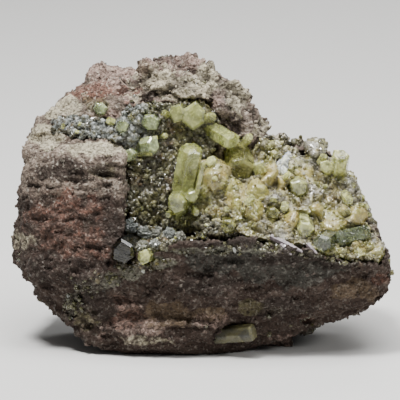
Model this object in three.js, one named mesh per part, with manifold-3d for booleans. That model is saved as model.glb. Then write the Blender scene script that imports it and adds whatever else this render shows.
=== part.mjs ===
// A natural mineral specimen: yellow-green fluorapatite crystals in a hollow of pinkish volcanic rock.
// Grey quartz druse lines the hollow on the left, and cream to honey chalcedony covers the shelf on the
// right. Millimetres, +Z up. The rock stands on the flat break of its underside at z = 0, and its show side
// faces -Y.

import * as THREE from "three";
import { ConvexGeometry } from "three/addons/geometries/ConvexGeometry.js";
import { ImprovedNoise } from "three/addons/math/ImprovedNoise.js";
import { mergeVertices } from "three/addons/utils/BufferGeometryUtils.js";
import Module from "manifold-3d";

// Driving dimensions. A point of the show side is [across, depth, up] in the plane of someone who looks at it
// from showTilt above the horizon: across grows to the right, depth away from them, up along their upright.
const showTilt = THREE.MathUtils.degToRad(12);
const groundBelow = 33.2; // height of the show side's middle point above the ground
const seam = 0.3; // what a crystal or crust keeps clear of the rock that it grew in
const rockEdge = 12; // longest edge of the rock's facets where it is plain
const rockWaves = [
  { length: 19, height: 1.1 },
  { length: 8, height: 0.9 },
  { length: 4, height: 0.3 },
];

// The rock's masses, each a convex block between its corners.
const rockBlocks = {
  foot: [
    [-24, -20, -16], [-14, -23, -14.5], [-4, -25, -9.5], [10, -26, -8.5], [24, -26.5, -11.5],
    [36, -24.5, -15], [44.5, -18, -13], [-30, -13, -30], [24, -12, -30.4], [36, -12, -27],
    [44.5, -12, -23], [-36, -8, -25], [45.3, -8, -11], [45, 2, -12], [44, -2, -22], [40, 12, -14],
    [36, 14, -24], [20, 20, -12], [-34, 12, -26], [-36, 14, -12], [-16, -12, -37.6], [0, -12.4, -37.8],
    [8, -10, -37], [17, 13, -32.4], [-14, 17, -31.6], [-20, 8, -33.4], [15, 0, -35],
  ],
  leftTower: [
    [-40, -13, 6.5], [-33, -17, 8.2], [-17.8, -21.5, 8.6], [-17.4, -22, -8], [-20.5, -22, -16],
    [-24, -20, -20], [-42, -13, -17], [-41, -8, 0], [-45, -7, -11.6], [-44, -4, -16], [-39.6, -6, -21.8],
    [-36.5, -8, -25.2], [-41, -6, 12.5], [-39.8, 0, 18], [-36, 2, 21.5], [-18, -10, 13.5], [-18, -5, 18],
    [-40.6, 12, 6], [-41, 14, -10], [-37, 16, 14], [-20, 18, 18], [-20, 18, -15], [-38, 12, -22],
  ],
  leftRidge: [
    [-40.5, -4, 15.5], [-40.1, 4, 19.2], [-37.2, 6, 22.3], [-33.1, 6, 24.9], [-29.3, 8, 28.1],
    [-25.7, 8, 31.7], [-23.6, 7, 32.9], [-18.7, 7, 32], [-13, 7, 32], [-34, -9, 13.5], [-22, -13, 13],
    [-15, -12, 15], [-12, -8, 24], [-20, -3, 28.5], [-38, 18, 16], [-26, 20, 26], [-12, 21, 27],
    [-14, 22, 5], [-36, 20, 5],
  ],
  backWall: [
    [-20, -11, -16], [12, -13, -13], [-19, -9, 14], [14, -9, 10], [12, -8, 18], [-16, -7, 26],
    [-4, -8, 26.5], [6, -7, 23], [-15, 5, 32], [-12.4, 5, 34.6], [-9.8, 5, 36.4], [-6, 6, 35.6],
    [-3, 6, 34], [3, 6, 31.5], [8, 5, 27], [12.5, 4, 22.5], [16, 4, 15.5], [-12, 22, 26], [8, 22, 22],
    [20, 22, 6], [20, 22, -14], [-18, 24, -14],
  ],
  rightShelf: [
    [8, -24.5, -9.5], [24, -25, -12.5], [36, -23, -13.5], [44, -15, -11.5], [11, -4, 15.6],
    [20.5, -1, 13.4], [28, 0, 14.2], [33, 1, 10.6], [37.4, -1, 5], [38.4, -3, -1.8], [43, -8, -8.6],
    [-1, -17, -6.6], [1, -11, 7], [18, 20, 12], [34, 18, 2], [42, 10, -12], [20, 20, -14], [10, 22, 10],
  ],
  frontBulge: [
    [-24, -16, -29.4], [-17, -17.6, -33.4], [-2, -18, -34.2], [6, -16.4, -33], [12, -13, -31],
    [-24, -8, -30], [10, -8, -30], [-17, -14, -36], [0, -14.6, -36.6], [-8, -20, -30], [4, -19, -29],
  ],
  rightToe: [
    [14.2, -8, -31], [23, -8, -30.2], [21.8, -5, -36], [15.4, -5, -36], [15, 4, -34], [21, 4, -34],
    [19, -2, -30],
  ],
};

// Rounded bosses of weathered rock along the skyline and above the hollow: [across, depth, up, reach, lift].
// A negative lift is a pit.
const rockBosses = [
  [-14.6, -1, 31.2, 3, 1.7], [-12, 1, 33, 2.6, 1.5], [-9.4, 1, 34, 2.6, 1.5], [-5.4, 1, 33, 2.8, 1.6],
  [-2.4, 2, 32.4, 2.3, 1.3], [0.8, 2, 31.2, 2.2, 1.2], [3.4, 3, 30, 2.4, 1.3], [7.8, 2, 26.5, 2.6, 1.3],
  [12.2, 2, 23, 2.4, 1.2], [14.3, 1, 18.5, 2.4, 1.2], [-6, -8.2, 26.2, 4.6, 2.6],
  [-8, -5, 29.7, 4.4, 2.2], [0.6, -4.4, 28.4, 3.6, 1.8], [-14.2, -9.4, 22.8, 3.6, 2.2],
  [-21.5, -5, 27.8, 3.4, 1.8], [3.4, -8, 24, 2.8, 1.4], [8.4, -7.4, 22.4, 3.2, 1.8],
  [10.4, -8.4, 18.6, 2.8, 1.4], [-26, -1.6, 28, 3.6, 1.6], [-31.4, -1.4, 22.8, 3.6, 1.5],
  [-36.4, -4.4, 18.2, 3.6, 1.4], [-29.6, -13.8, 11, 3.4, 1.3], [-36.4, -12.6, 9.8, 3.2, 1.3],
  [-40.6, -12, 1.4, 3, 1.1], [-16.1, -8, 26.4, 2, -1.4], [-11.5, -8, 24.7, 2, -1.2],
  [-8.9, -8, 24.5, 1.8, -1.1], [-21.1, -4, 23.3, 2.4, -1.4], [-35, -14, -4, 3, -0.9],
  [-29, -17, -14, 3, -1.2], [-25, -19, 3, 2.2, -0.9], [-8, -21, -20, 4.4, 2], [6, -21, -22, 4.4, 1.8],
  [20, -19, -24, 4.4, 1.8], [33, -18, -20, 4, 1.6], [-20, -18, -27, 3.6, 1.6], [14, -23, -14, 2.8, -1.2],
  [-1, -22, -15, 2.8, -1.3], [28, -21, -17, 2.8, -1.2],
];

// Crusts, each draped over the rock along its own facing, which is so many degrees above the show direction.
// Outline points are [across, up]; a mound is [across, up, half width, half height, how far it stands out].
const crusts = {
  quartz_druse: {
    facing: 14, cell: 2.3, skin: 0.9, depth: 1.8,
    outline: [
      [-34.4, 17.4], [-33.4, 19.6], [-29, 19.8], [-24, 18.4], [-20, 17.6], [-17.4, 20], [-12.4, 22],
      [-4.5, 22.6], [1.6, 22.4], [4, 20], [3.8, 12.6], [1.6, 8], [1.4, -3], [7, -5.4], [11, -8.4],
      [8, -10.4], [0, -10], [-5, -10.8], [-8, -13], [-12.6, -14.4], [-16.8, -12.4], [-16.8, 9],
      [-18.6, 12.4], [-24, 13.6], [-30, 15.4],
    ],
    mounds: [
      [-12.4, -6.6, 3.2, 3.1, 1.8], [-9.6, -3.6, 3.4, 3.2, 1.8], [-7.2, -7.2, 3.4, 2.8, 2.4],
      [-12, -11, 3, 2.8, 2], [-8.4, -10.2, 3.2, 2.4, 1.8], [-10.8, 0.5, 3, 3.4, 1.6],
      [-8.4, 4.8, 3, 3.2, 1.4], [-12.4, 4.8, 3, 3, 1.4], [-8.9, 9.6, 3.2, 3, 1.5],
      [-6.7, 12.8, 2.8, 2.8, 1.5], [-12.2, 9.4, 3, 3.2, 1.5], [-15.2, 7, 2.2, 3, 1.2],
      [-15.2, 1.6, 2.2, 3.2, 1.1], [-15.2, -3.4, 2.2, 3, 1.4], [-9.6, 16.6, 3.4, 3, 1.6],
      [-6.7, 19.2, 3, 2.6, 1.4], [-15.6, 15.8, 3, 2.8, 1.8], [-20, 15.2, 3, 2.2, 1.2],
      [-24, 16, 3.2, 2.2, 1.3], [-28.4, 17.4, 3.2, 2.2, 1.3], [-32, 18.2, 2.6, 1.8, 1.1],
      [-3, -6.6, 3.2, 2.4, 2.4], [1.6, -7.2, 3.4, 2.4, 2.2], [6, -7.6, 3.2, 2.2, 1.8],
      [-1.2, 15, 3, 2.6, 1.4], [1.4, 11.6, 2.8, 2.8, 1.4], [-15.4, -8.6, 2.6, 2.6, 1.6],
    ],
  },
  chalcedony_crust: {
    facing: 30, cell: 2.3, skin: 0.9, depth: 2,
    outline: [
      [16, 15.5], [20.5, 15.2], [24.5, 13.4], [28.5, 16.2], [33, 12.6], [37, 9], [39.4, 5.4], [39.6, -2],
      [42, -6.2], [46, -8.4], [45.6, -10.8], [40.4, -12.2], [36, -13.4], [32, -12.8], [26, -11.6],
      [18, -10.2], [11, -10], [7, -7.5], [3, -5], [-1.8, 0], [-2.4, 4.5], [-1, 9.6], [3, 10.4], [8, 8.4],
      [11, 9], [13, 13.5],
    ],
    mounds: [
      [3.6, 4.2, 5.3, 5.2, 4.6], [8.6, 2, 3, 3.6, 2.6], [11.5, -2.5, 3.2, 3.6, 3.2],
      [14.2, 2.5, 3.4, 4, 3.4], [17.6, 7.5, 3.4, 3.6, 3.2], [19.9, 4, 2.2, 2.2, 1.8],
      [27.2, -1.8, 2.9, 3, 2.8], [35.2, -2.4, 4, 3.4, 3.4], [17.9, 0.1, 3, 3, 2],
      [22.2, -4.6, 3.2, 3.8, 2.4], [28.4, 12.6, 4, 3.2, 3], [37, 4.8, 2.6, 3.2, 2.8],
      [37.2, 0.8, 2.6, 3, 2], [27, 3, 3.6, 2.6, 2.2], [32.4, 2, 3.2, 2.4, 2], [18.6, 12.6, 3, 3, 2],
      [42.2, -9.6, 3, 2.4, 1.4], [38.6, -11.8, 4, 1.8, 1.3], [13, -5.8, 3.2, 2.6, 2],
      [17.6, -7.2, 3.4, 2.6, 2], [22.4, -9, 3, 2.2, 1.6], [31.2, -7, 2.8, 2.4, 1.4],
      [36, -6.8, 3, 2.2, 1.6], [23.6, 9.4, 3, 2.6, 1.4],
    ],
  },
};

// Fluorapatite crystals, from [across, up] of the root to [across, up] of the end. The end stands out from
// the surface at the root by out, towards the show side, and deep is how far the root reaches under it
// where that isn't rootDepth. Those of one name are grown together.
const apatites = [
  { name: "tall_crystals", root: [-5, -3.4], tip: [-1.9, 12.5], out: 3.4, radius: 2.8, spin: 18, taper: 0.72 },
  { name: "tall_crystals", root: [-3.8, 1.4], tip: [-5.5, -1.2], out: 6.4, radius: 2.2, spin: 10 },
  { name: "tall_crystals", root: [-2, 2.2], tip: [-2.1, 0.6], out: 6, radius: 1.35, spin: 0 },
  { name: "upper_crystals", root: [-1.2, 20.4], tip: [-1.4, 19.8], out: 4.2, radius: 2.9, spin: 24 },
  { name: "upper_crystals", root: [-4.6, 21], tip: [-5.4, 20.5], out: 3.2, radius: 2, spin: 5 },
  { name: "upper_crystals", root: [1.2, 17.8], tip: [7.7, 13.7], out: 3.4, radius: 2, spin: 12 },
  { name: "olive_crystal", root: [8.8, 12], tip: [9.7, 7], out: 4.8, radius: 2.9, spin: 20 },
  { name: "pale_crystal", root: [-11.4, 19], tip: [-11.8, 18.4], out: 3, radius: 1.9, spin: 8 },
  { name: "striated_crystals", root: [-15.2, 11.6], tip: [-17, 10.5], out: 3, radius: 1.4, spin: 0 },
  { name: "striated_crystals", root: [-15.6, 12.2], tip: [-11, 13], out: 2.8, radius: 1.8, spin: 16 },
  { name: "seam_crystal", root: [-18, 17.6], tip: [-18.5, 17.3], out: 2.6, radius: 1.3, spin: 12 },
  { name: "dark_crystal", root: [-15.6, -10.4], tip: [-18.2, -12.3], out: 8.5, radius: 2.8, spin: 25 },
  { name: "hexagon_crystal", root: [-11.8, -13], tip: [-13.2, -13.4], out: 2.2, radius: 1.5, spin: 5 },
  { name: "bar_crystal", root: [20.8, 10], tip: [18.5, 6], out: 4, radius: 1.7, spin: 0 },
  { name: "rim_crystals", root: [32.8, 5], tip: [33.4, 10.6], out: 2.6, radius: 2.1, spin: 10 },
  { name: "rim_crystals", root: [30.8, 6.6], tip: [30.1, 8], out: 3.4, radius: 1.5, spin: 22 },
  { name: "green_hexagon", root: [24.5, -4.6], tip: [24.8, -7], out: 4, radius: 1.8, spin: 3 },
  { name: "long_crystals", root: [38.8, -8.3], tip: [31.6, -9.9], out: 3.6, radius: 2.5, spin: 8, deep: 0.8 },
  { name: "long_crystals", root: [30.6, -9], tip: [28.4, -10.4], out: 3.4, radius: 2.1, spin: 20 },
  { name: "druse_crystal", root: [16.8, -2.4], tip: [17.2, -3.2], out: 3, radius: 1.3, spin: 14 },
  { name: "foot_crystal", root: [6.4, -5.4], tip: [6.7, -6.2], out: 3, radius: 1.5, spin: 9 },
  { name: "gap_crystal", root: [23.2, 4], tip: [23.4, 2.8], out: 3.2, radius: 2, spin: 28 },
  { name: "mint_crystal", root: [-23.4, 21.4], tip: [-23.8, 21.8], out: 2.2, radius: 1.4, spin: 2 },
  { name: "underside_crystal", root: [3.6, -32], tip: [12.6, -31.2], out: 1.1, radius: 1.7, spin: 15 },
  { name: "lump_crystal", root: [3.4, 7.6], tip: [2.6, 9.2], out: 2.2, radius: 1.2, spin: 6 },
];
const rootDepth = 3; // how deep a crystal's root reaches under the surface

const finishes = {
  rock: new THREE.MeshStandardMaterial({ color: 0x8a7468, roughness: 0.95, metalness: 0 }),
  quartz_druse: new THREE.MeshStandardMaterial({ color: 0x85857c, roughness: 0.35, metalness: 0 }),
  chalcedony_crust: new THREE.MeshStandardMaterial({ color: 0xb9ad8c, roughness: 0.4, metalness: 0 }),
  apatite: new THREE.MeshStandardMaterial({ color: 0x9aa35c, roughness: 0.15, metalness: 0 }),
};

const wasm = await Module();
wasm.setup();
const noise = new ImprovedNoise();
const random = THREE.MathUtils.seededRandom;
random(7);

// From the show side's [across, depth, up] to the part's own frame.
const showToPart = new THREE.Matrix4()
  .makeTranslation(0, 0, groundBelow)
  .multiply(new THREE.Matrix4().makeRotationX(-showTilt));

const shown = ([across, depth, up]) => new THREE.Vector3(across, depth, up).applyMatrix4(showToPart);

// Closed geometry to solid and back.
function toSolid(geometry) {
  const bare = geometry.clone();
  bare.deleteAttribute("normal");
  bare.deleteAttribute("uv");
  const merged = mergeVertices(bare, 1e-4);
  const vertProperties = merged.attributes.position.array;
  const triVerts = new Uint32Array(merged.index.array);
  return new wasm.Manifold(new wasm.Mesh({ numProp: 3, vertProperties, triVerts }));
}

function toGeometry(solid) {
  const { vertProperties, triVerts } = solid.getMesh();
  return new THREE.BufferGeometry()
    .setAttribute("position", new THREE.BufferAttribute(vertProperties, 3))
    .setIndex(new THREE.BufferAttribute(triVerts, 1));
}

const join = (solids) => solids.reduce((whole, piece) => whole.add(piece));

const largestBody = (solid) =>
  solid.decompose().reduce((most, body) => (body.volume() > most.volume() ? body : most));

// Halves every edge that is longer than allowed at its middle, on both of its triangles, in a few passes.
function splitLongEdges(points, triangles, longestAt) {
  for (let pass = 0; pass < 7; pass++) {
    const middles = new Map();
    const middleOf = (a, b) => {
      const key = Math.min(a, b) + "," + Math.max(a, b);
      if (!middles.has(key)) {
        const middle = points[a].clone().lerp(points[b], 0.5);
        const long = points[a].distanceTo(points[b]) > longestAt(middle);
        middles.set(key, long ? points.push(middle) - 1 : -1);
      }
      return middles.get(key);
    };
    const split = [];
    for (const [a, b, c] of triangles) {
      const [ab, bc, ca] = [middleOf(a, b), middleOf(b, c), middleOf(c, a)];
      if (ab >= 0 && bc >= 0 && ca >= 0) {
        split.push([a, ab, ca], [ab, b, bc], [ca, bc, c], [ab, bc, ca]);
        continue;
      }
      const ring = [a, ab, b, bc, c, ca].filter((corner) => corner >= 0);
      const start = Math.max(ring.findIndex((corner) => corner === ab || corner === bc || corner === ca), 0);
      for (let i = 1; i < ring.length - 1; i++)
        split.push([ring[start], ring[(start + i) % ring.length], ring[(start + i + 1) % ring.length]]);
    }
    triangles = split;
  }
  return triangles;
}

// Moves a point by smooth bosses and waves, which bend a surface and never tear or cross it.
function swell(point, bosses, waves) {
  const moved = point.clone();
  for (const { centre, outward, reach, lift } of bosses)
    moved.addScaledVector(outward, lift * Math.exp(-point.distanceToSquared(centre) / reach ** 2));
  for (const { length, height } of waves) {
    const at = point.clone().divideScalar(length);
    moved.x += height * noise.noise(at.x, at.y, at.z + 11.3);
    moved.y += height * noise.noise(at.x + 31.7, at.y, at.z);
    moved.z += height * noise.noise(at.x, at.y + 57.1, at.z);
  }
  return moved;
}

// The solid with its facets made small, smallest near the bosses, and then swollen.
function roughen(solid, longest, bosses, waves) {
  const { vertProperties, triVerts } = solid.getMesh();
  const points = [];
  for (let i = 0; i < vertProperties.length; i += 3)
    points.push(new THREE.Vector3().fromArray(vertProperties, i));
  const triangles = [];
  for (let i = 0; i < triVerts.length; i += 3) triangles.push([...triVerts.slice(i, i + 3)]);
  const longestAt = (point) =>
    bosses.reduce((least, { centre, reach }) => {
      const near = point.distanceTo(centre) < 1.4 * reach;
      return near ? Math.min(least, 1.7 * reach) : least;
    }, longest);
  const split = splitLongEdges(points, triangles, longestAt);
  const swollen = points.map((point) => swell(point, bosses, waves));
  return toSolid(new THREE.BufferGeometry().setFromPoints(swollen).setIndex(split.flat()));
}

const blockBetween = (corners) => toSolid(new ConvexGeometry(corners.map(shown)));

// An angular chip: the hull of points spread evenly over a ball, each pushed in or out a little.
function chip(centre, size) {
  const goldenTurn = Math.PI * (3 - Math.sqrt(5));
  const points = [];
  for (let i = 0; i < 9; i++) {
    const height = 1 - (2 * (i + 0.5)) / 9;
    const round = Math.sqrt(1 - height * height);
    const reach = size * (0.75 + 0.5 * random());
    const turn = i * goldenTurn + random();
    const way = new THREE.Vector3(round * Math.cos(turn), round * Math.sin(turn), height);
    points.push(way.multiplyScalar(reach).add(centre));
  }
  return toSolid(new ConvexGeometry(points));
}

// Places spread at random over a solid's surface, each with the way out of it.
function surfacePlaces(solid, count) {
  const { position } = toGeometry(solid).toNonIndexed().attributes;
  const facet = new THREE.Triangle();
  const sums = [];
  let area = 0;
  for (let i = 0; i < position.count; i += 3) {
    facet.setFromAttributeAndIndices(position, i, i + 1, i + 2);
    area += facet.getArea();
    sums.push(area);
  }
  return Array.from({ length: count }, () => {
    const wanted = random() * area;
    const i = 3 * sums.findIndex((sum) => sum >= wanted);
    facet.setFromAttributeAndIndices(position, i, i + 1, i + 2);
    const [along, over] = [random(), random()].sort((a, b) => a - b);
    const centre = facet.a.clone().multiplyScalar(along);
    centre.addScaledVector(facet.b, over - along).addScaledVector(facet.c, 1 - over);
    return { centre, outward: facet.getNormal(new THREE.Vector3()) };
  });
}

// The rock as it was before anything grew on it.
function bareRock() {
  const blocks = join(Object.values(rockBlocks).map(blockBetween));
  const placed = rockBosses.map(([across, depth, up, reach, lift]) => {
    const centre = shown([across, depth, up]);
    const outward = centre.clone().sub(shown([across * 0.6, 6, up * 0.6])).normalize();
    return { centre, outward, reach, lift };
  });
  const scattered = surfacePlaces(blocks, 46).map((place, i) => {
    const reach = 3 + 2 * random();
    return { ...place, reach, lift: (i % 3 ? 0.38 : -0.3) * reach };
  });
  let rock = roughen(blocks, rockEdge, [...placed, ...scattered], rockWaves);
  const chips = surfacePlaces(rock, 15).map(({ centre, outward }, i) => {
    const size = 1.4 + 1.3 * random();
    return { raised: i % 5 > 1, solid: chip(centre.addScaledVector(outward, -0.25 * size), size) };
  });
  rock = rock.add(join(chips.filter(({ raised }) => raised).map(({ solid }) => solid)));
  rock = rock.subtract(join(chips.filter(({ raised }) => !raised).map(({ solid }) => solid)));
  const under = toSolid(new THREE.BoxGeometry(200, 200, 40).translate(0, 0, -20));
  return largestBody(rock.subtract(under));
}

// A way to ask how far along a ray a solid is first met.
function feeler(solid) {
  const mesh = new THREE.Mesh(toGeometry(solid), new THREE.MeshBasicMaterial());
  const caster = new THREE.Raycaster();
  return (from, way) => {
    caster.set(from, way);
    const [hit] = caster.intersectObject(mesh);
    return hit ? hit.distance : Infinity;
  };
}

// A surface over a grid in the plane of a and b, closed by a far point below it, or above it for a floor.
function fieldSolid(frame, [a0, a1, b0, b1], cell, heightAt, isFloor) {
  const [across, along] = [Math.ceil((a1 - a0) / cell), Math.ceil((b1 - b0) / cell)];
  const points = [];
  for (let j = 0; j <= along; j++)
    for (let i = 0; i <= across; i++) {
      const [a, b] = [a0 + i * cell, b0 + j * cell];
      points.push(new THREE.Vector3(a, b, heightAt(a, b)));
    }
  const far = points.push(new THREE.Vector3((a0 + a1) / 2, (b0 + b1) / 2, isFloor ? 400 : -400)) - 1;
  const at = (i, j) => j * (across + 1) + i;
  const triangles = [];
  for (let j = 0; j < along; j++)
    for (let i = 0; i < across; i++) {
      const [p, q, r, s] = [at(i, j), at(i + 1, j), at(i + 1, j + 1), at(i, j + 1)];
      if ((i + j) % 2) triangles.push([p, q, r], [p, r, s]);
      else triangles.push([p, q, s], [q, r, s]);
    }
  for (let i = 0; i < across; i++)
    triangles.push([at(i + 1, 0), at(i, 0), far], [at(i, along), at(i + 1, along), far]);
  for (let j = 0; j < along; j++)
    triangles.push([at(0, j), at(0, j + 1), far], [at(across, j + 1), at(across, j), far]);
  if (isFloor) triangles.forEach((triangle) => triangle.reverse());
  const surface = new THREE.BufferGeometry().setFromPoints(points).setIndex(triangles.flat());
  return toSolid(surface.applyMatrix4(frame));
}

// An upright wall round an outline, which stands off it by grow.
function outlineSolid(frame, outline, grow) {
  const turnsLeft = THREE.ShapeUtils.area(outline) > 0;
  const corners = turnsLeft ? outline : [...outline].reverse();
  const grown = corners.map((corner, i) => {
    const before = corner.clone().sub(corners.at(i - 1)).normalize();
    const after = corners[(i + 1) % corners.length].clone().sub(corner).normalize();
    const out = new THREE.Vector2(before.y + after.y, -before.x - after.x).normalize();
    const lean = out.dot(new THREE.Vector2(after.y, -after.x));
    return corner.clone().addScaledVector(out, grow / Math.max(lean, 0.5));
  });
  const wall = new THREE.ExtrudeGeometry(new THREE.Shape(grown), { depth: 80, bevelEnabled: false });
  return toSolid(wall.translate(0, 0, -40).applyMatrix4(frame));
}

// A crust draped over the rock, and the bed that the rock keeps clear for it.
function crustOn(rock, { facing, cell, skin, depth, outline, mounds }) {
  const tilt = THREE.MathUtils.degToRad(facing);
  const slope = new THREE.Vector3(0, Math.sin(tilt), Math.cos(tilt));
  const normal = new THREE.Vector3(0, -Math.cos(tilt), Math.sin(tilt));
  const middle = outline.reduce((sum, [, up]) => sum + up / outline.length, 0);
  const touch = feeler(rock);
  const toShow = new THREE.Matrix4().makeBasis(new THREE.Vector3(1, 0, 0), slope, normal);
  const away = new THREE.Vector3(0, 1, 0).transformDirection(showToPart);
  toShow.setPosition(0, touch(shown([10, -100, middle]), away) - 100, middle);
  const frame = showToPart.clone().multiply(toShow);
  const flat = ([across, up]) => new THREE.Vector2(across, (up - middle) / Math.cos(tilt));
  const down = new THREE.Vector3(0, 0, -1).transformDirection(frame);
  const surfaceAt = (a, b) => {
    const distance = touch(new THREE.Vector3(a, b, 60).applyMatrix4(frame), down);
    return distance === Infinity ? -20 : 60 - distance;
  };
  const smoothAt = (a, b) => {
    const steps = [[0, 0], [1.3, 0], [-1.3, 0], [0, 1.3], [0, -1.3]];
    return steps.reduce((sum, [da, db]) => sum + surfaceAt(a + da, b + db) / steps.length, 0);
  };
  const placed = mounds.map(([across, up, halfWidth, halfHeight, out]) => {
    const { x, y } = flat([across, up]);
    return { x, y, halfWidth, halfHeight: halfHeight / Math.cos(tilt), out };
  });
  const topAt = (a, b) =>
    Math.max(smoothAt(a, b), surfaceAt(a, b)) +
    placed.reduce((most, { x, y, halfWidth, halfHeight, out }) => {
      const far = ((a - x) / halfWidth) ** 2 + ((b - y) / halfHeight) ** 2;
      return Math.max(most, out * (1 - far));
    }, skin);
  const corners = outline.map(flat);
  const box = new THREE.Box2().setFromPoints(corners).expandByScalar(3);
  const extent = [box.min.x, box.max.x, box.min.y, box.max.y];
  const slab = (grow) => {
    const top = fieldSolid(frame, extent, cell, (a, b) => topAt(a, b) + 1.5 * grow, false);
    const floor = fieldSolid(frame, extent, 3 * cell, (a, b) => smoothAt(a, b) - depth - grow, true);
    return top.intersect(floor).intersect(outlineSolid(frame, corners, 1.1 * grow));
  };
  return { crust: slab(0), bed: slab(seam) };
}

// A six-sided prism with a bevelled end that a flat face cuts off: rings of six corners, joined by flat
// faces. Its sides are uneven, as on a grown crystal.
function hexagonalCrystal({ from, to, radius, spin, taper = 0.78 }, grow) {
  const axis = to.clone().sub(from).normalize();
  const length = from.distanceTo(to);
  const wide = radius + grow * 1.15; // a corner stands further out than its faces
  const bevel = radius * (1 - taper);
  const rings = [
    [-grow, wide], [length - bevel + grow * 0.5, wide], [length + grow, radius * taper + grow],
  ];
  const points = rings.flatMap(([along, reach]) =>
    [0, 1, 2, 3, 4, 5].map((side) => {
      const turn = THREE.MathUtils.degToRad(spin + 60 * side);
      const uneven = reach + 0.11 * radius * Math.sin(spin + 2.4 * side);
      return new THREE.Vector3(uneven * Math.cos(turn), uneven * Math.sin(turn), along);
    }),
  );
  const upright = new THREE.Quaternion().setFromUnitVectors(new THREE.Vector3(0, 0, 1), axis);
  return toSolid(new ConvexGeometry(points.map((point) => point.applyQuaternion(upright).add(from))));
}

function crystalSolids(surface, grow) {
  const touch = feeler(surface);
  const away = new THREE.Vector3(0, 1, 0).transformDirection(showToPart);
  const grown = new Map();
  for (const { name, root, tip, out, deep = rootDepth, ...form } of apatites) {
    const ground = touch(shown([root[0], -100, root[1]]), away) - 100;
    const from = shown([root[0], ground + deep, root[1]]);
    const to = shown([tip[0], ground - out, tip[1]]);
    const one = hexagonalCrystal({ from, to, ...form }, grow);
    grown.set(name, grown.has(name) ? grown.get(name).add(one) : one);
  }
  return grown;
}

const bare = bareRock();
const druse = crustOn(bare, crusts.quartz_druse);
const chalcedony = crustOn(bare, crusts.chalcedony_crust);
const grownOver = bare.add(druse.crust).add(chalcedony.crust);
const sockets = join([...crystalSolids(grownOver, seam).values()]);

const specimen = new THREE.Group();

function addPiece(name, solid, finish) {
  const mesh = new THREE.Mesh(toGeometry(largestBody(solid)), finish);
  mesh.name = name;
  specimen.add(mesh);
}

addPiece("rock_matrix", bare.subtract(druse.bed).subtract(chalcedony.bed).subtract(sockets), finishes.rock);
addPiece("quartz_druse", druse.crust.subtract(chalcedony.bed).subtract(sockets), finishes.quartz_druse);
addPiece("chalcedony_crust", chalcedony.crust.subtract(sockets), finishes.chalcedony_crust);
for (const [name, solid] of crystalSolids(grownOver, 0)) addPiece(name, solid, finishes.apatite);

// The origin is on the ground under the middle of the whole specimen.
const middle = new THREE.Box3().setFromObject(specimen).getCenter(new THREE.Vector3());
specimen.position.set(-middle.x, -middle.y, 0);

export default specimen;
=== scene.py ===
import math

import bmesh
import bpy
import numpy as np
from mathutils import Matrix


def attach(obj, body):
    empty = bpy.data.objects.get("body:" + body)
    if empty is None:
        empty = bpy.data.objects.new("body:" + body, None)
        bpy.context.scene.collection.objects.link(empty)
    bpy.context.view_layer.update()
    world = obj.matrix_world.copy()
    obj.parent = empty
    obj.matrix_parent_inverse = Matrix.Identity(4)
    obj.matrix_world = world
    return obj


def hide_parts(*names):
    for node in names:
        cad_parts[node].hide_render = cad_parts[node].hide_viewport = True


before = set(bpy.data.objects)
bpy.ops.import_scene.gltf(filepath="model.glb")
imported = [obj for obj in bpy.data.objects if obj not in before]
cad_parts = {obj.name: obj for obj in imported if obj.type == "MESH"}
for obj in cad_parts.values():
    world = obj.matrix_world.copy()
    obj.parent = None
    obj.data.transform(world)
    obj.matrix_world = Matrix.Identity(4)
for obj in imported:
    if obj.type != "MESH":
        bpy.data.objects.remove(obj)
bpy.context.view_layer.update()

# The rock. A piece of weathered volcanic rock, pink-brown and pitted on its left block, pale and
# knobbly along the top, partly from painted light, and grey-brown and layered below, where painted
# shade darkens it. It grew as one lump and rests on a flat break of its underside. Lengths are in
# millimetres, of which METRE makes a metre.

METRE = 1000
TILT = math.radians(12)
SHOW_MIDDLE = np.array([-0.50, 0.89, 33.2])
ROCK_VOXEL = 0.6
ROCK_SWELL = 0.62
LUMP_SIZE = 6
BIT_SIZE = 2.6
RUBBLE_HEIGHT = 1.5
GRAIN_SIZE = 1.5
GRAIN_HEIGHT = 0.3
PIT_DEPTH = 0.7
LAYER_DEPTH = 0.9
LAYERING = (0.6, 1, 1.5)
FRAY = 0.45


def show_side(points):
    """Across, depth and up of points for someone who looks down at the show side by TILT: the
    points less the middle, turned back about the across axis."""
    x, y, z = (points - SHOW_MIDDLE).T
    return x, y * math.cos(TILT) - z * math.sin(TILT), y * math.sin(TILT) + z * math.cos(TILT)


def chance(corners, seed):
    """A number from 0 to 1 for each row of three whole numbers: they are mixed by multiplying with
    large primes and folding the high bits down."""
    mixed = (corners.astype(np.int64) * np.array([73856093, 19349663, 83492791])).sum(-1)
    mixed = mixed + seed * 40503
    mixed = (mixed ^ (mixed >> 13)) * 1274126177 & 0xFFFFFFFF
    mixed = (mixed ^ (mixed >> 15)) * 2246822519 & 0xFFFFFFFF
    return ((mixed ^ (mixed >> 16)) & 0xFFFF) / 65535


def noise(points, size, seed):
    """Value noise from -1 to 1: a chance at each corner of cubes of that size, blended inside each
    cube with weights t * t * (3 - 2 * t)."""
    scaled = points / size
    low = np.floor(scaled).astype(np.int64)
    part = scaled - low
    part = part * part * (3 - 2 * part)
    total = np.zeros(len(points))
    for corner in np.ndindex(2, 2, 2):
        weight = np.prod(np.where(corner, part, 1 - part), axis=1)
        total += weight * chance(low + corner, seed)
    return 2 * total - 1


def rough(points, size, seed, octaves=4):
    """Noise of several sizes, each half the size and 0.55 of the height of the one before."""
    layers = [0.55**i * noise(points, size / 2**i, seed + i) for i in range(octaves)]
    return sum(layers)


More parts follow.
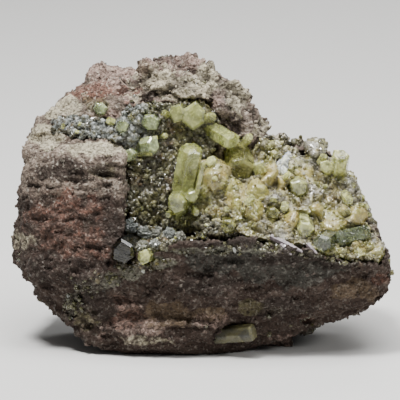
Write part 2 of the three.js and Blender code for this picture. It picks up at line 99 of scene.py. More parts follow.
def cells(points, size, seed):
    """Distance to the nearest and second nearest of random points, one in each cube of that size,
    in cubes, and a chance that belongs to the nearest one."""
    scaled = points / size
    low = np.floor(scaled).astype(np.int64)
    near = np.full(len(points), 9.0)
    second = near.copy()
    own = near.copy()
    for offset in np.ndindex(3, 3, 3):
        cube = low + np.array(offset) - 1
        place = cube + np.stack([chance(cube, seed + 7 * axis) for axis in range(3)], axis=1)
        distance = np.linalg.norm(scaled - place, axis=1)
        closer = distance < near
        second = np.where(closer, near, np.minimum(second, distance))
        own = np.where(closer, chance(cube, seed + 50), own)
        near = np.where(closer, distance, near)
    return near, second, own


def ramp(values, low, high):
    """0 below low, 1 above high, and a smooth step between them."""
    t = np.clip((values - low) / (high - low), 0, 1)
    return t * t * (3 - 2 * t)


def rubble(points, size, seed):
    """0 in the gaps and 1 on the lumps of a rubble of about that size, and a chance for each lump:
    cells whose borders are bent by noise."""
    bend = np.stack([noise(points, size, seed + axis) for axis in range(3)], axis=1)
    near, second, own = cells(points + 0.35 * size * bend, size, seed)
    return ramp(second - near, 0, 0.4), own


def merged_copy(node):
    """A CAD node's mesh copied, and a bmesh of it in millimetres with its triangles merged."""
    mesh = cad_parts[node].data.copy()
    mesh.materials.clear()
    solid = bmesh.new()
    solid.from_mesh(mesh)
    bmesh.ops.remove_doubles(solid, verts=solid.verts, dist=1e-6)
    bmesh.ops.scale(solid, vec=(METRE, METRE, METRE), verts=solid.verts)
    return mesh, solid


def even_copy(node, voxel):
    """A CAD node's surface in millimetres, cut up into even small squares by a voxel remesh."""
    mesh, solid = merged_copy(node)
    solid.to_mesh(mesh)
    solid.free()
    carrier = bpy.data.objects.new(node + "_carrier", mesh)
    bpy.context.collection.objects.link(carrier)
    remesh = carrier.modifiers.new("even", "REMESH")
    remesh.mode = "VOXEL"
    remesh.voxel_size = voxel
    evaluated = carrier.evaluated_get(bpy.context.evaluated_depsgraph_get())
    made = bpy.data.meshes.new_from_object(evaluated)
    bpy.data.objects.remove(carrier)
    bpy.data.meshes.remove(mesh)
    return made


def places(mesh):
    """Vertex places of a mesh as an array of rows."""
    flat = np.empty(3 * len(mesh.vertices))
    mesh.vertices.foreach_get("co", flat)
    return flat.reshape(-1, 3)


def outward(mesh):
    """Vertex normals of a mesh as an array of rows."""
    flat = np.empty(3 * len(mesh.vertices))
    mesh.vertex_normals.foreach_get("vector", flat)
    return flat.reshape(-1, 3)


def move_to(mesh, points):
    """Puts the vertices at these places."""
    mesh.vertices.foreach_set("co", points.ravel())
    mesh.update()


def push_out(mesh, heights):
    """Moves the vertices out along their normals, by one height or by one for each."""
    move_to(mesh, places(mesh) + outward(mesh) * np.reshape(heights, (-1, 1)))


def give(mesh, **traits):
    """Stores one number for each vertex under each name, by which the material reads it."""
    for name, values in traits.items():
        layer = mesh.attributes.new(name, "FLOAT", "POINT")
        layer.data.foreach_set("value", values.astype(np.float32))


def show_piece(name, mesh, finish, node_slot, *nodes, smooth=True):
    """Makes the mesh a piece, scaled to metres, that rides on the root and replaces the nodes."""
    move_to(mesh, places(mesh) / METRE)
    mesh.polygons.foreach_set("use_smooth", [smooth] * len(mesh.polygons))
    mesh.materials.append(finish)
    piece = bpy.data.objects.new(name, mesh)
    bpy.context.collection.objects.link(piece)
    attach(piece, "root")
    if nodes:
        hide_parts(*nodes)


class Socket:
    """A node's output, with arithmetic that adds Math nodes."""

    def __init__(self, finish, output):
        self.finish = finish
        self.output = output

    def math(self, operation, first, second):
        return self.finish.node("ShaderNodeMath", {"operation": operation}, {0: first, 1: second})

    def __add__(self, other):
        return self.math("ADD", self, other)

    def __sub__(self, other):
        return self.math("SUBTRACT", self, other)

    def __rsub__(self, other):
        return self.math("SUBTRACT", other, self)

    def __mul__(self, other):
        return self.math("MULTIPLY", self, other)

    __radd__ = __add__
    __rmul__ = __mul__


class Finish:
    """A material that is put together from nodes. Its lengths are in millimetres too."""

    def __init__(self, name):
        self.material = bpy.data.materials.new(name)
        self.material.use_nodes = True
        self.tree = self.material.node_tree
        self.tree.nodes.clear()
        self.place = self.node("ShaderNodeTexCoord", {}, {}, "Object")

    def node(self, kind, settings, inputs, output=0):
        """Adds a node with its settings and with values or links on its inputs. Gives one of its
        outputs, or nothing where output is None."""
        made = self.tree.nodes.new(kind)
        for key, value in settings.items():
            setattr(made, key, value)
        for key, value in inputs.items():
            if isinstance(value, Socket):
                self.tree.links.new(value.output, made.inputs[key])
            else:
                made.inputs[key].default_value = value
        return None if output is None else Socket(self, made.outputs[output])

    def grain(self, size, detail=3, stretch=(1, 1, 1)):
        """Noise from 0 to 1 of about that size, drawn out along any axis with stretch below 1."""
        where = self.node("ShaderNodeMapping", {}, {"Vector": self.place, "Scale": stretch})
        look = {"Vector": where, "Scale": METRE / size, "Detail": detail}
        return self.node("ShaderNodeTexNoise", {}, look)

    def spots(self, size, output=0):
        """Distance from random points that lie about size apart, or with output 1 a chance for
        each of them."""
        look = {"Vector": self.place, "Scale": METRE / size}
        return self.node("ShaderNodeTexVoronoi", {}, look, output)

    def step(self, value, low, high):
        """0 below low and 1 above high."""
        smooth = {"interpolation_type": "SMOOTHSTEP"}
        return self.node("ShaderNodeMapRange", smooth, {0: value, 1: low, 2: high, 3: 0.0, 4: 1.0})

    def read(self, name):
        """A number that the mesh carries."""
        return self.node("ShaderNodeAttribute", {"attribute_name": name}, {}, "Fac")

    def mix(self, share, first, second):
        """The first colour where share is 0, the second where it is 1."""
        return self.node("ShaderNodeMix", {"data_type": "RGBA"}, {0: share, 6: first, 7: second}, 2)

    def shader(self, colour, roughness, height=None, depth=0.1, sockets=None):
        """A surface shader, with height as fine relief of that depth and sockets for what is even
        all over."""
        inputs = {"Base Color": colour, "Roughness": roughness, **(sockets or {})}
        if height is not None:
            bump = {"Height": height, "Distance": depth / METRE}
            inputs["Normal"] = self.node("ShaderNodeBump", {}, bump)
        return self.node("ShaderNodeBsdfPrincipled", {}, inputs)

    def surface(self, *look, **more):
        """The material with one such shader."""
        ends = {"Surface": self.shader(*look, **more)}
        self.node("ShaderNodeOutputMaterial", {}, ends, None)
        return self.material


def srgb(red, green, blue):
    """A colour given as screen values from 0 to 255, as the linear light that a shader takes."""
    return tuple((channel / 255) ** 2.2 for channel in (red, green, blue)) + (1.0,)


# Ellipses that each colour stains on the show side: middle across and up, half width, half height.
STAINS = {
    "slate": [(2, -15, 6, 3), (10, -13, 8, 4), (20, -15.5, 10, 5), (31, -15, 7, 3.4)],
    "moss": [
        (-30, -24, 3, 3), (-27.4, -21, 3.6, 2.6), (-22.4, -19.2, 4, 2.6), (-17, -16.8, 3.6, 2.2),
        (-10, -15, 6, 1.4), (0, -12, 6, 1.2), (8, -11.6, 5, 1.2), (15, -11.6, 5, 1.3),
        (24, -12.8, 5, 1), (34, -14.6, 6, 1), (24, 14.4, 8, 1.4), (41, -1, 2, 6),
    ],
    "tan": [(38, -21.6, 7, 2.4), (2, -27, 4, 2), (-8, -27, 6, 3), (-6, 24, 9, 3), (-14, 31, 4, 2)],
    # Cream: pale patches of the rock; the broad one over the top is partly painted light on the
    # upper faces.
    "cream": [
        (-37, 15.4, 5, 3.2), (-25, 12, 8, 2), (-5, 28, 13, 5), (-32, 21.6, 6, 2.6),
        (-9, 29.8, 6, 1.5), (4, 31, 6, 2), (9, 24, 3, 5), (-42, -10, 4.5, 2.4),
        (-9.6, -33.4, 9, 1.3), (16, 17, 4, 3), (25, 16, 8, 3), (42, -3, 3, 6),
    ],
    "pink": [
        (-22, 30, 9, 4), (-7, 34, 8, 4), (-19.4, 20.4, 3.5, 1.6), (3, 24, 4, 2.4), (-8, 24, 5, 3),
        (-15, -30, 9, 3), (19, -34, 5, 3), (-12, 25, 7, 4), (3, -28.6, 6, 2.6), (-18, -25, 7, 3),
    ],
    "red": [
        (-27, 26, 6, 3), (-15.6, 27, 3, 2), (-33, -4, 10, 7), (-29, -12, 10, 7), (-16, 23, 2, 2),
        (-17, -27.6, 5, 3), (43, -18.7, 4, 2), (23.4, -28.4, 3, 1.2), (-20, -24, 4, 2),
    ],
    # Dark: dark rock under the crust's edge and in spots, and painted shade low on the left block
    # and on the face below.
    "dark": [
        (-32, 7.2, 9, 2.4), (-12, 24.5, 2, 1.6), (9.6, -9, 14, 3), (24, -13, 10, 2.4),
        (35, -15, 8, 2), (-25, -24, 5, 5), (20, -26, 7, 3), (-36, -17, 5, 4), (-30, -16, 8, 4),
        (-20, -8, 2.4, 5), (2, -20, 8, 2.6),
    ],
    "olive": [
        (12, -26, 3.4, 1.6), (-25, 22.8, 4, 2), (-27, -27.6, 3, 3), (-22.8, 6.7, 3, 1.5),
        (18, -27, 2, 1),
    ],
}
# Each stain's colour, and how much of the rock under it that covers. Shade is painted shade.
ROCK_TINTS = {
    "shade": (srgb(48, 35, 29), 0.88),
    "slate": (srgb(60, 62, 57), 0.7),
    "moss": (srgb(126, 126, 112), 0.6),
    "tan": (srgb(132, 112, 86), 0.34),
    "pink": (srgb(168, 143, 131), 0.8),
    "red": (srgb(126, 88, 74), 0.75),
    "cream": (srgb(194, 185, 158), 0.85),
    "olive": (srgb(104, 100, 70), 0.5),
    "dark": (srgb(47, 39, 34), 0.84),
}


def within(points, spots, seed):
    """1 inside ellipses with frayed edges, each given by its middle across and up and its half
    width and half height as seen on the show side, and 0 outside."""
    across, _, up = show_side(points)
    edge = 1.3 + FRAY * rough(points, 4, seed, 3)
    reach = [np.hypot((across - x) / wide, (up - z) / high) for x, z, wide, high in spots]
    return ramp(edge - np.min(reach, axis=0), 0, 0.7)


def stains(points, ways):
    """How strongly each colour stains the rock, by name: on the side in view inside its ellipses,
    and elsewhere in patches of noise. Also how strong the painted shade is: deepest low down except
    far back, and light on steep front faces. Where it lies it thins the pink, red and cream."""
    _, depth, up = show_side(points)
    seen = ramp(ways[:, 2] * math.sin(TILT) - ways[:, 1] * math.cos(TILT), -0.15, 0.25)
    strengths = {}
    for number, (name, spots) in enumerate(STAINS.items()):
        patchy = ramp(rough(points, 9, 310 + number, 4), 0.1, 1.1)
        strengths[name] = seen * within(points, spots, 300 + number) + 0.7 * (1 - seen) * patchy
    low = ramp(9 - up, 0, 14) * ramp(depth, 30, 10)
    strengths["shade"] = np.maximum(low, 0.35 * ramp(-ways[:, 1], 0.6, 1))
    for name in ("pink", "red", "cream"):
        strengths[name] *= 1 - 0.55 * strengths["shade"]
    return strengths


def rock_colour(finish):
    """The rock's colours: mottled grey-brown, its stains and painted shade broken up by noise, and
    light and dark mineral grains, the light ones dimmed in the painted shade. Also gives where the
    light grains are."""
    layers = finish.grain(2.4, 5, LAYERING)
    patches = finish.grain(1.3, 5)
    minerals = finish.spots(0.5, 1)
    # Lit is low where the painted shade lies, so the light grains fade there.
    lit = 1 - finish.read("shade") * 0.75
    colour = finish.mix(finish.step(layers, 0.36, 0.64), srgb(92, 80, 71), srgb(146, 131, 117))
    for name, (tint, share) in ROCK_TINTS.items():
        stained = finish.step(finish.read(name) + patches, 0.75, 1.25)
        colour = finish.mix(stained * share, colour, tint)
    grains = finish.step(minerals, 0.6, 0.75) * finish.step(patches, 0.4, 0.6)
    colour = finish.mix(grains * lit * 0.5, colour, srgb(192, 183, 166))
    colour = finish.mix(finish.step(minerals, 0.4, 0.3) * 0.5, colour, srgb(56, 46, 41))
    specks = finish.step(finish.grain(0.7, 4), 0.46, 0.36) * 0.6
    return finish.mix(specks, colour, srgb(42, 34, 29)), grains


rock_mesh = even_copy("rock_matrix", ROCK_VOXEL)
start = places(rock_mesh)
ways = outward(rock_mesh)

# Where the rock differs: the pitted block at the left with the lip along its top, the knobbly upper
# part and the layered face below. Noise makes their borders drift. The foot keeps its flat break.
across, depth, up = show_side(start)
drift = 2.4 * rough(start, 6, 5, 3)
foot = ramp(start[:, 2], 0.2, 2.5)
left_block = ramp(-across + drift, 15.5, 20) * ramp(10.5 - up, 0, 3) * ramp(-depth, -9, 0)
lip = ramp(-across, 17, 19) * ramp(-depth, -4, 2)
lip *= ramp(3 - np.abs(up - 11.5 + 0.4 * drift), 0, 2.5)
knobby = ramp(up + drift, 10, 15) * (0.35 + 0.65 * ramp(across + drift, -21, -14))
low_face = ramp(-up + drift, 6, 12) * ramp(across + drift, -27, -17)

# Swells and rubble first, then the torn layers, grains and pits on top of them.
lumps, own = rubble(start, LUMP_SIZE, 31)
bits, own_bit = rubble(start, BIT_SIZE, 36)
piled = lumps * (0.5 + own) - 0.7 + 0.5 * bits * (0.4 + own_bit) - 0.3
swollen = ROCK_SWELL * rough(start, 6.5, 11) + 0.5 * rough(start, 2.8, 21, 3) + 0.8 * lip
swollen += (0.16 + knobby + 0.2 * low_face) * RUBBLE_HEIGHT * piled
push_out(rock_mesh, swollen * foot)

layered = rough(start * np.array([0.4, 1, 1.6]), 3, 41, 4)
torn = 1.3 * np.abs(layered) - 0.45 * np.abs(rough(start, 2, 46, 3))
bend = 0.5 * noise(start, GRAIN_SIZE, 63)[:, None]
near, _, own = cells(start + bend, GRAIN_SIZE, 61)
pits = ramp(own, 0.8, 0.9) * ramp(0.5 - near, 0, 0.4)
fine = GRAIN_HEIGHT * (0.6 - near) * (0.5 + own) - PIT_DEPTH * pits
fine -= LAYER_DEPTH * torn * (0.25 + 0.75 * np.maximum(left_block, low_face))
push_out(rock_mesh, fine * foot)
standing = places(rock_mesh)
standing[:, 2] = np.maximum(standing[:, 2], 0)
move_to(rock_mesh, standing)

# Painted shade in the gaps between the lumps and bits, in the pits and in the torn layers of the
# left block.
gaps = (1 - lumps) * (0.15 + 0.6 * knobby) + 0.3 * (1 - bits) * knobby
gaps += 0.5 * pits + 0.7 * ramp(torn, 0.35, 0.8) * left_block
give(rock_mesh, **stains(start, ways), gap=np.clip(gaps, 0, 1))

rock = Finish("volcanic_rock")
colour, grains = rock_colour(rock)
# The painted shade darkens the crevices.
colour = rock.mix(rock.read("gap") * 0.85, colour, srgb(36, 27, 22))
relief = rock.grain(0.8, 5) + rock.spots(0.75) * -0.5 + rock.grain(2.2, 4, LAYERING) * 0.8
rock_finish = rock.surface(colour, 0.92 - grains * 0.5, relief, 0.7, {"Specular IOR Level": 0.35})
show_piece("rock_matrix_weathered", rock_mesh, rock_finish, "rock", "rock_matrix")

# Crumbs of the same rock that stand on its weathered faces: angular grains under a millimetre, each
# fused to the rock. They are one joined mesh.

CRUMB_COUNT = 7000
CRUMB_SEED = 3


def strewn(mesh, count, draw, weight):
    """Random places on a mesh, even over its area times a weight for each face middle and way out:
    a face is drawn with that chance, then a place in its triangle. Gives places and the ways out,
    in millimetres."""
    mesh.calc_loop_triangles()
    corners = np.empty(3 * len(mesh.loop_triangles), dtype=np.int64)
    mesh.loop_triangles.foreach_get("vertices", corners)
    first, second, third = (places(mesh) * METRE)[corners.reshape(-1, 3).T]
    cross = np.cross(second - first, third - first)
    area = np.linalg.norm(cross, axis=1)
    out = cross / np.maximum(area, 1e-12)[:, None]
    share = area * weight((first + second + third) / 3, out)
    chosen = draw.choice(len(share), count, p=share / share.sum())
    a, b = np.sort(draw.random((2, count)), axis=0)[:, :, None]
    spots = first[chosen] * a + second[chosen] * (b - a) + third[chosen] * (1 - b)
    return spots, out[chosen]


def tilted(ways, amount, draw):
    """Each way turned aside by a random step of that size, at length 1."""
    leaned = ways + amount * draw.standard_normal(ways.shape)
    return leaned / np.linalg.norm(leaned, axis=1)[:, None]


def mostly_small(count, least, more, power, draw):
    """Random sizes from least to least plus more, few of them large: a chance to that power."""
    return least + more * draw.random(count) ** power


def ball_shape():
    """Corners and faces of a ball of 20 triangles."""
    ball = bmesh.new()
    bmesh.ops.create_icosphere(ball, subdivisions=1, radius=1)
    corners = np.array([vertex.co[:] for vertex in ball.verts])
    faces = [[vertex.index for vertex in face.verts] for face in ball.faces]
    ball.free()
    return corners, faces


def joined_copies(name, shape, centres, ways, widths, lengths, draw, least_tone=0, **traits):
    """A mesh of one small shape set at every centre: its own z along the way there, turned by
    chance about it, stretched by the widths across and the lengths along. Each copy carries its
    value of every trait, and a random tone up to 1."""
    corners, faces = shape
    side = np.cross(ways, draw.standard_normal(ways.shape))
    side /= np.linalg.norm(side, axis=1)[:, None]
    third = np.cross(ways, side)
    other_widths = widths * draw.uniform(0.75, 1.3, len(widths))
    stretched = [side * widths[:, None], third * other_widths[:, None], ways * lengths[:, None]]
    points = np.einsum("kc,ncj->nkj", corners, np.stack(stretched, axis=1)) + centres[:, None, :]
    first = np.arange(len(centres))[:, None] * len(corners)
    joined = [copy for face in faces for copy in (np.array(face) + first).tolist()]
    mesh = bpy.data.meshes.new(name)
    mesh.from_pydata(points.reshape(-1, 3).tolist(), [], joined)
    traits = {"tone": draw.uniform(least_tone, 1, len(centres)), **traits}
    give(mesh, **{trait: np.repeat(values, len(corners)) for trait, values in traits.items()})
    return mesh


def weathered(middle, out):
    """Full on level faces and sparse on steep ones, and none at the foot of the rock."""
    return (middle[:, 2] > 1.5) * (0.25 + out[:, 2] ** 2)


draw = np.random.default_rng(CRUMB_SEED)
corners, faces = ball_shape()
angular = (corners * draw.uniform(0.7, 1.3, (len(corners), 1)), faces)
centres, ways = strewn(rock_mesh, CRUMB_COUNT, draw, weathered)
sizes = mostly_small(CRUMB_COUNT, 0.16, 0.5, 3, draw)
leaning = tilted(ways, 0.9, draw)
crumb_mesh = joined_copies(
    "rock_crumbs", angular, centres, leaning, sizes * 1.1, sizes * 0.7, draw,
    **stains(centres, ways),
)

crumb = Finish("rock_crumb")
colour, grains = rock_colour(crumb)
colour = crumb.mix(crumb.read("tone") * 0.5, colour, srgb(84, 71, 62))
crumb_finish = crumb.surface(colour, 0.85, crumb.grain(0.3, 3), 0.2)
show_piece("rock_crumbs", crumb_mesh, crumb_finish, "rock", smooth=False)

# The quartz druse. A thin grey lining of quartz over the walls of the hollow and out along the seam
# to its upper left. It grew as one crust, which is lumpy and beaded all over.

DRUSE_VOXEL = 0.34
DRUSE_CLUMP = 2.5
DRUSE_BEAD = 1.4


def seam(points):
    """1 on the bluish grey seam at the upper left, 0 on the brownish walls of the hollow."""
    across, _, up = show_side(points)
    return ramp(up + 1.5 * noise(points, 4, 131), 11, 14) * ramp(-across, 10, 15)


def druse_colour(finish, low, high):
    """Quartz between two greys, with olive and rusty patches, bluish on the seam."""
    colour = finish.mix(finish.step(finish.grain(1.5, 4), 0.4, 0.62), low, high)
    mossy = finish.step(finish.grain(4.5, 3), 0.45, 0.6) * 0.7
    rusty = finish.step(finish.grain(5.5, 4), 0.54, 0.66) * 0.7
    bluish = finish.read("seam") * finish.step(finish.grain(1.2, 3), 0.35, 0.55) * 0.85
    colour = finish.mix(mossy, colour, srgb(112, 108, 62))
    colour = finish.mix(rusty, colour, srgb(92, 68, 50))
    return finish.mix(bluish, colour, srgb(162, 168, 168))


druse_mesh = even_copy("quartz_druse", DRUSE_VOXEL)
start = places(druse_mesh)
clumps, own = rubble(start, DRUSE_CLUMP, 101)
push_out(druse_mesh, 0.5 * rough(start, 4, 111, 3) + 0.9 * (clumps * (0.4 + own) - 0.55) + 0.15)
beads, own = rubble(start, DRUSE_BEAD, 121)
push_out(druse_mesh, 0.55 * beads * (0.3 + own) - 0.2)
# Painted shade lies between the clumps and the beads.
give(druse_mesh, seam=seam(start), gap=np.maximum(1 - clumps, 0.8 - 0.8 * beads))

druse = Finish("grey_druse")
colour = druse_colour(druse, srgb(74, 70, 55), srgb(126, 123, 101))
colour = druse.mix(druse.step(druse.grain(0.5, 3), 0.6, 0.72) * 0.5, colour, srgb(160, 158, 144))
colour = druse.mix(druse.read("gap") * 0.65, colour, srgb(56, 48, 33))
druse_finish = druse.surface(colour, 0.3, druse.spots(0.6) * -1 + druse.grain(0.3, 2) * 0.3, 0.2)
show_piece("quartz_druse_skin", druse_mesh, druse_finish, "quartz", "quartz_druse")

# Points and beads of clear grey quartz that stand on the druse, and in a fringe on the rock below
# the crusts and beside them. Each is fused at its foot. The points are one joined mesh, and the
# beads another.

DRUSE_POINTS = 3400
FRINGE_POINTS = 1200
DRUSE_BEADS = 1500
FRINGE_BEADS = 500
FRINGE_FOOT = 3
DRUSE_SEED = 5
OFF_MIDDLE = 0.06
QUARTZ_IOR = 1.54
DRUSE_GLASS = {"Transmission Weight": 0.45, "IOR": QUARTZ_IOR}


def prism_shape(cap, shoulder):
    """Corners and faces of a six-sided prism from -0.5 to 1 along z: three rings of six, the last
    of radius cap and a little off the middle. It slopes in from the height of its shoulder."""
    turn = np.arange(6) * math.pi / 3
    ring = np.stack([np.cos(turn), np.sin(turn)], axis=1)
    rings = [(1, -0.5), (0.94, shoulder), (cap, 1)]
    levels = [np.column_stack([ring * radius, np.full(6, height)]) for radius, height in rings]
    corners = np.vstack(levels)
    corners[12:, :2] += OFF_MIDDLE
    faces = [[5, 4, 3, 2, 1, 0], [12, 13, 14, 15, 16, 17]]
    for low in (0, 6):
        following = [low + (i + 1) % 6 for i in range(6)]
        faces += [[low + i, after, after + 6, low + i + 6] for i, after in enumerate(following)]
    return corners, faces


def not_hidden(middle, out):
    """1 on faces that don't look towards the back, and 0 on those that do."""
    return (out[:, 1] < 0.1) * 1.0


def mossy(middle, out):
    """How strongly the rock is stained grey-green, above its foot."""
    return stains(middle, out)["moss"] * (middle[:, 2] > FRINGE_FOOT)


def mossy_tops(middle, out):
    """The same on faces that look up."""
    return mossy(middle, out) * (out[:, 2] > 0.35)


def fringed(count, fringe, weight, draw):
    """Places and ways out on the druse, and for the last so many on the rock with that weight."""
    centres, ways = strewn(druse_mesh, count - fringe, draw, not_hidden)
    more_centres, more_ways = strewn(rock_mesh, fringe, draw, weight)
    return np.vstack([centres, more_centres]), np.vstack([ways, more_ways])


draw = np.random.default_rng(DRUSE_SEED)
quartz_point = prism_shape(0.07, 0.35)
centres, ways = fringed(DRUSE_POINTS, FRINGE_POINTS, mossy, draw)
sizes = mostly_small(DRUSE_POINTS, 0.14, 0.46, 2.4, draw)
tall = sizes * draw.uniform(0.9, 2.2, DRUSE_POINTS)
leaning = tilted(ways, 0.45, draw)
points_mesh = joined_copies(
    "druse_points", quartz_point, centres, leaning, sizes, tall, draw, seam=seam(centres)
)

quartz = Finish("clear_quartz")
tone = quartz.read("tone")
colour = quartz.mix(quartz.step(tone, 0.1, 0.8), srgb(72, 68, 50), srgb(130, 128, 108))
colour = quartz.mix(0.7, colour, druse_colour(quartz, srgb(62, 58, 44), srgb(116, 114, 96)))
colour = quartz.mix(quartz.step(tone, 0.97, 0.98), colour, srgb(188, 189, 182))
quartz_finish = quartz.surface(colour, 0.16, sockets=DRUSE_GLASS)
show_piece("druse_points", points_mesh, quartz_finish, "quartz", smooth=False)

centres, ways = fringed(DRUSE_BEADS, FRINGE_BEADS, mossy_tops, draw)
sizes = mostly_small(DRUSE_BEADS, 0.28, 0.5, 2, draw)
tall = sizes * draw.uniform(0.8, 1.2, DRUSE_BEADS)
beads_mesh = joined_copies(
    "druse_beads", ball_shape(), centres, ways, sizes, tall, draw, seam=seam(centres)
)

bead = Finish("bead_quartz")
colour = druse_colour(bead, srgb(86, 83, 66), srgb(140, 138, 117))
colour = bead.mix(0.5, colour, srgb(128, 125, 102))
colour = bead.mix(bead.step(bead.read("tone"), 0.5, 0), colour, srgb(64, 58, 40))
bead_finish = bead.surface(colour, 0.12, bead.grain(0.4, 2), 0.08, DRUSE_GLASS)
show_piece("druse_beads", beads_mesh, bead_finish, "quartz")

# The chalcedony crust. Cream to honey silica that flowed over the right shelf in round lumps, waxy
# on the lumps and rubbly between them. It is one crust, thin at its edges.

CHALCEDONY_VOXEL = 0.34
CRUST_CLUMP = 3.2
SUGAR_SIZE = 0.9
# The named lumps: middle across and up, radius, height and how honey-coloured each is.
LUMPS = [
    (3.4, 6.8, 4.4, 1.3, 0.6), (8.6, 1.4, 3.6, 0.9, 0.7), (12.6, -2, 3, 0.8, 0.8),
    (13.8, 2.4, 2.6, 1, 1), (16.4, 6.6, 2.8, 1.2, 0.9), (19.7, 4.6, 1.3, 1, 1),
    (27.6, -2.6, 1.7, 1.3, 1), (34, -2.2, 1.5, 1.1, 0.5), (31.6, -5, 3.2, 0.9, 0.7),
    (36, 4.8, 2.6, 1.1, 0), (27.8, 13.2, 3, 1.9, 0.2), (22.6, 8, 2.6, 0.8, 0.1),
    (26, 3, 2.6, 0.9, 0.2), (18.7, 0.4, 2.4, 0.9, 0), (38, -9.6, 3, 0.7, 0.6),
    (30, 7.6, 2.6, 0.8, 0.1), (0.2, 2.4, 1.9, 0.9, 0.1), (19, -7, 3, 0.7, 0.1),
    (24, -8.4, 2.2, 0.7, 0.2), (42.4, -11.6, 2.4, 0.5, 0.6), (37.4, -3.6, 2.6, 0.9, 0.9),
    (24.4, 6.4, 2.6, 1, 0.8), (21.4, -4.4, 2.2, 0.9, 0.9), (33, 8.6, 2.2, 0.8, 0.4),
]
# The frosted ellipses: middle across and up, half width, half height.
FROSTED = [
    (28, 11, 7, 3.6), (37, 3, 2.6, 4.6), (24.6, 1, 3.4, 2.4), (17.7, -0.4, 2.6, 2),
    (20, -8.6, 5, 1.8), (43, -10.4, 3, 2),
]


def lumpy(points):
    """Height and honey of the crust's named lumps, each a dome whose outline is bent by noise:
    1 - (distance / radius) ** 2, to the power 0.7, times its height."""
    across, _, up = show_side(points)
    across = across + 0.7 * noise(points, 2.2, 205)
    up = up + 0.7 * noise(points, 2.2, 206)
    height = np.zeros(len(points))
    honey = np.zeros(len(points))
    for x, z, radius, tall, warm in LUMPS:
        dome = np.clip(1 - ((across - x) ** 2 + (up - z) ** 2) / radius**2, 0, 1) ** 0.7
        honey = np.where(tall * dome > height, warm * ramp(dome, 0, 0.6), honey)
        height = np.maximum(height, tall * dome)
    return height, honey


def crust_traits(points):
    """How honey-coloured and how frosted the crust is at these places, by name."""
    return {"honey": lumpy(points)[1], "frost": within(points, FROSTED, 241)}


def silica_colour(finish):
    """Cream and grey silica, honey on the named lumps and lilac-grey where frosted, with olive and
    amber patches and fine white grains, partly painted glints."""
    warm = finish.step(finish.read("honey") + finish.grain(2, 4), 0.5, 1.4)
    mossy = finish.step(finish.grain(4.4, 3), 0.46, 0.6) * 0.65
    amber = finish.step(finish.grain(2.7, 4), 0.54, 0.66) * 0.5
    frosted = finish.read("frost") * finish.step(finish.grain(1.5, 4), 0.36, 0.56) * 0.8
    white_and_glints = finish.step(finish.grain(0.5, 3), 0.6, 0.7) * 0.35
    mottled = finish.step(finish.grain(3.6, 4), 0.4, 0.6)
    colour = finish.mix(mottled, srgb(136, 131, 112), srgb(160, 154, 114))
    colour = finish.mix(warm, colour, srgb(154, 142, 84))
    colour = finish.mix(mossy, colour, srgb(138, 139, 70))
    colour = finish.mix(amber, colour, srgb(148, 126, 62))
    colour = finish.mix(frosted, colour, srgb(134, 131, 122))
    return finish.mix(white_and_glints, colour, srgb(194, 190, 166))


chalcedony_mesh = even_copy("chalcedony_crust", CHALCEDONY_VOXEL)
start = places(chalcedony_mesh)
domes, honey = lumpy(start)
clumps, own = rubble(start, CRUST_CLUMP, 201)
rest = 1 - ramp(domes, 0.1, 0.6)
heights = 1.2 * domes - 0.4 + 0.55 * rough(start, 4, 211, 4)
heights += (0.1 + 0.9 * rest) * (1.4 * clumps * (0.3 + own) - 0.7)
push_out(chalcedony_mesh, heights)
beads, own = rubble(start, SUGAR_SIZE, 221)
sugar = 0.24 * beads * (0.3 + own) - 0.08 + 0.1 * noise(start, 0.6, 231)
push_out(chalcedony_mesh, sugar * (1 - 0.35 * honey))
give(chalcedony_mesh, **crust_traits(start), gap=(1 - clumps) * (0.2 + 0.8 * rest))

silica = Finish("cream_chalcedony")
# Painted shade, olive-brown, in the rubbly gaps between the lumps.
colour = silica.mix(silica.read("gap") * 0.7, silica_colour(silica), srgb(96, 86, 36))
relief = silica.spots(0.5) * -0.8 + silica.grain(0.3, 3) * 0.6
waxy = {
    "Subsurface Weight": 0.5, "Subsurface Radius": (1.0, 1.0, 0.7), "Subsurface Scale": 0.0014,
    "Coat Weight": 0.8, "Coat Roughness": 0.05,
}
silica_finish = silica.surface(colour, 0.3, relief, 0.2, waxy)
show_piece(
    "chalcedony_crust_lumps", chalcedony_mesh, silica_finish, "chalcedony", "chalcedony_crust"
)

# Sugar on the crust: points and beads of clear quartz under a millimetre, thick between the honey
# lumps and sparse on them. The points are one joined mesh, and the beads another.

SUGAR_POINTS = 2200
SUGAR_BEADS = 1300
SUGAR_SEED = 9
SUGAR_GLASS = {"Transmission Weight": 0.55, "IOR": QUARTZ_IOR}


def sugary(middle, out):
    """Full between the honey lumps and sparse on them, and none on the hidden underside."""
    dome, honey = lumpy(middle)
    return (1.03 - honey * ramp(dome, 0, 0.4)) * (out[:, 2] - out[:, 1] > 0.1)


draw = np.random.default_rng(SUGAR_SEED)
centres, ways = strewn(chalcedony_mesh, SUGAR_POINTS, draw, sugary)
sizes = mostly_small(SUGAR_POINTS, 0.1, 0.34, 2.6, draw)
tall = sizes * draw.uniform(0.8, 1.7, SUGAR_POINTS)
leaning = tilted(ways, 0.6, draw)
sugar_mesh = joined_copies(
    "sugar_points", quartz_point, centres, leaning, sizes, tall, draw, **crust_traits(centres)
)

sugar_look = Finish("sugary_quartz")
tone = sugar_look.read("tone")
pale = sugar_look.step(tone, 0.3, 0.9) * 0.5
# The whitest tips are partly painted glints.
white_and_glints = sugar_look.step(tone, 0.94, 0.97) * 0.8
colour = sugar_look.mix(pale, silica_colour(sugar_look), srgb(188, 185, 170))
colour = sugar_look.mix(white_and_glints, colour, srgb(226, 226, 218))
sugar_finish = sugar_look.surface(colour, 0.08, sockets=SUGAR_GLASS)
show_piece("sugar_points", sugar_mesh, sugar_finish, "chalcedony", smooth=False)

